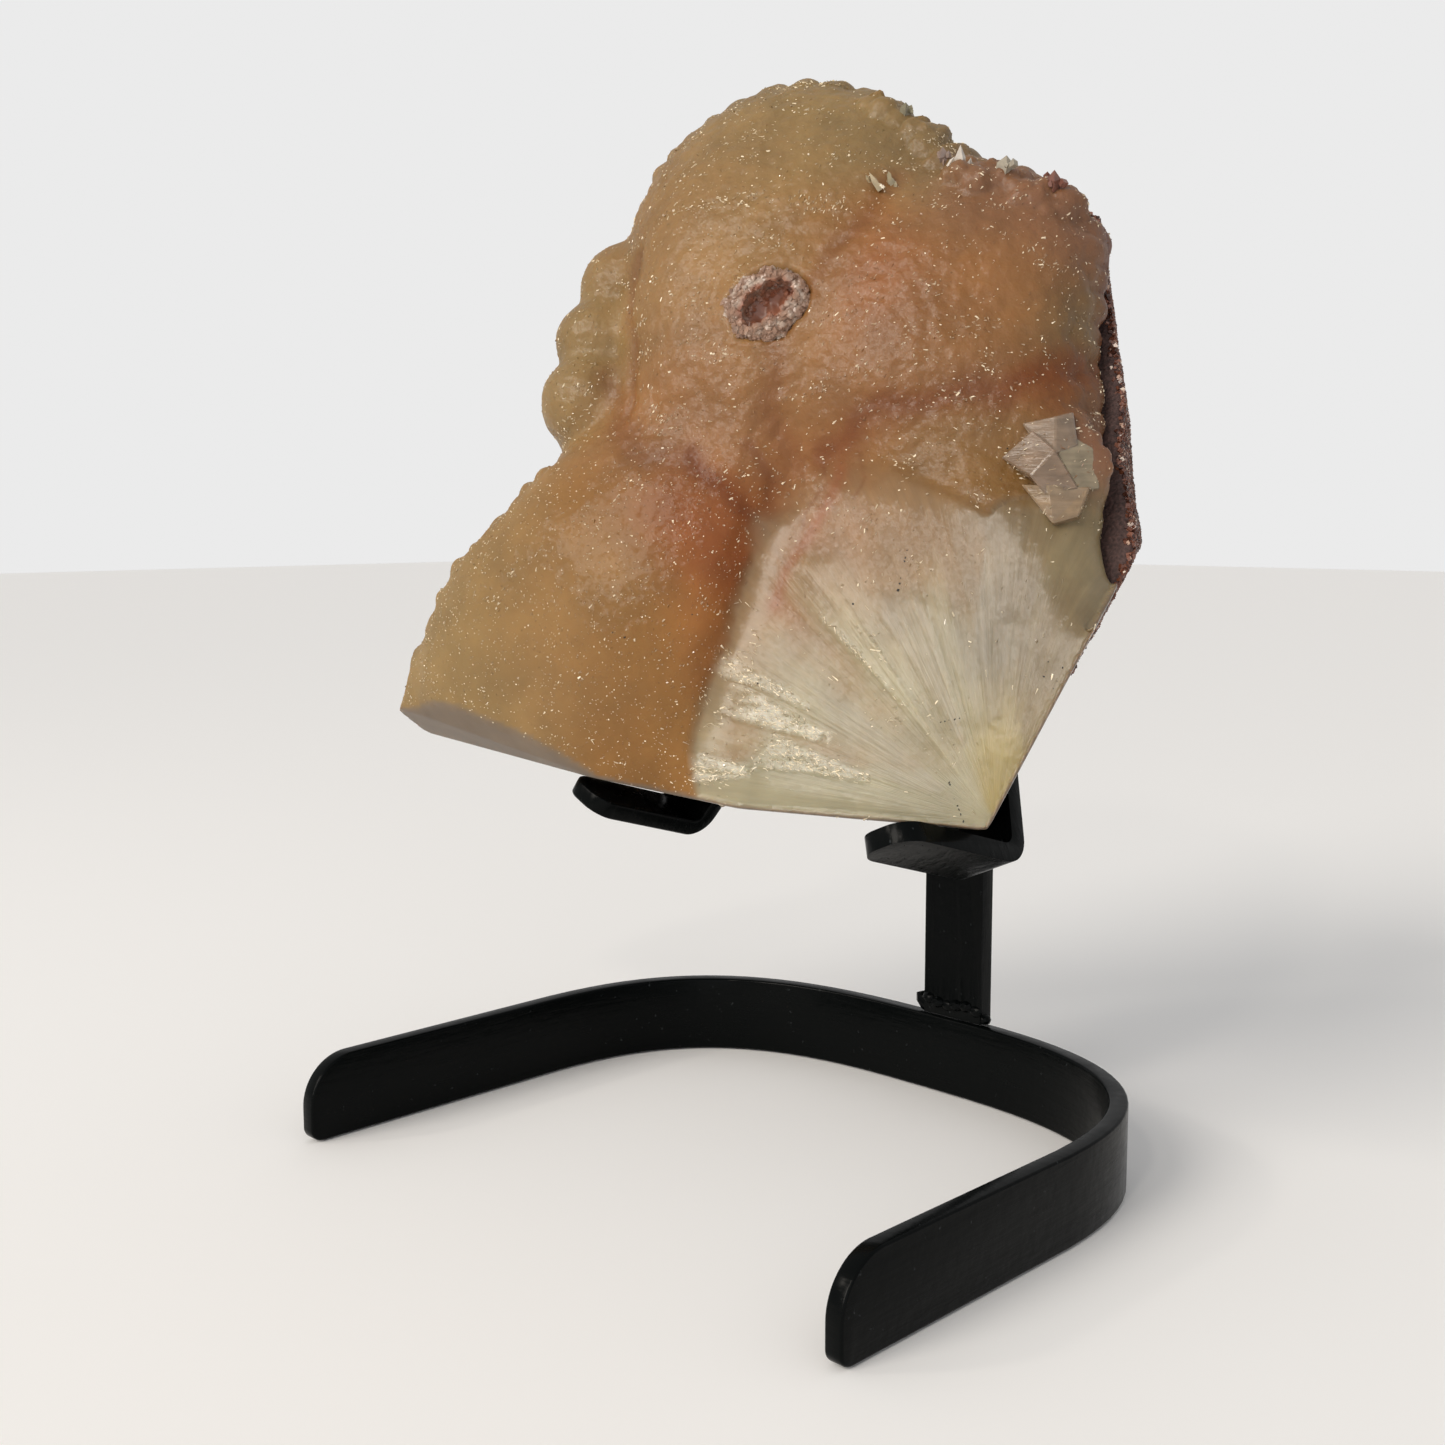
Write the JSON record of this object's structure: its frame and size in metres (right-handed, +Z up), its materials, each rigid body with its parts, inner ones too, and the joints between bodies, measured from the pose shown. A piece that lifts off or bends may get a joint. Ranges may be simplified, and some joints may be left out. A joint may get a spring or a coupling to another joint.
{
  "type": "stilbite cluster on a display stand",
  "caption": "Intergrown tan and pinkish stilbite crystal cluster with a white fibrous broken face, leaning on the hooks of a black flat bar stand.",
  "frame": {"origin": "on the surface that it stands on, under the middle of the whole object's box", "axes": "+Z up; the stand's hoop opens towards -Y, and +X is to the right seen from that side"},
  "size_m": [0.1842, 0.1504, 0.253],
  "materials": {
    "stand_paint": "gloss",
    "stilbite": "satin",
    "white_crust": "satin",
    "clear_crystal": "gloss",
    "host_rock": "matte"
  },
  "bodies": {
    "root": {"base_hoop": "stand_paint", "post": "stand_paint", "right_arm_hook": "stand_paint", "left_arm_hook": "stand_paint", "stilbite_mass": "stilbite", "pocket_crust": "white_crust", "blocky_crystals": "clear_crystal", "matrix_rock": "host_rock"}
  },
  "joints": []
}
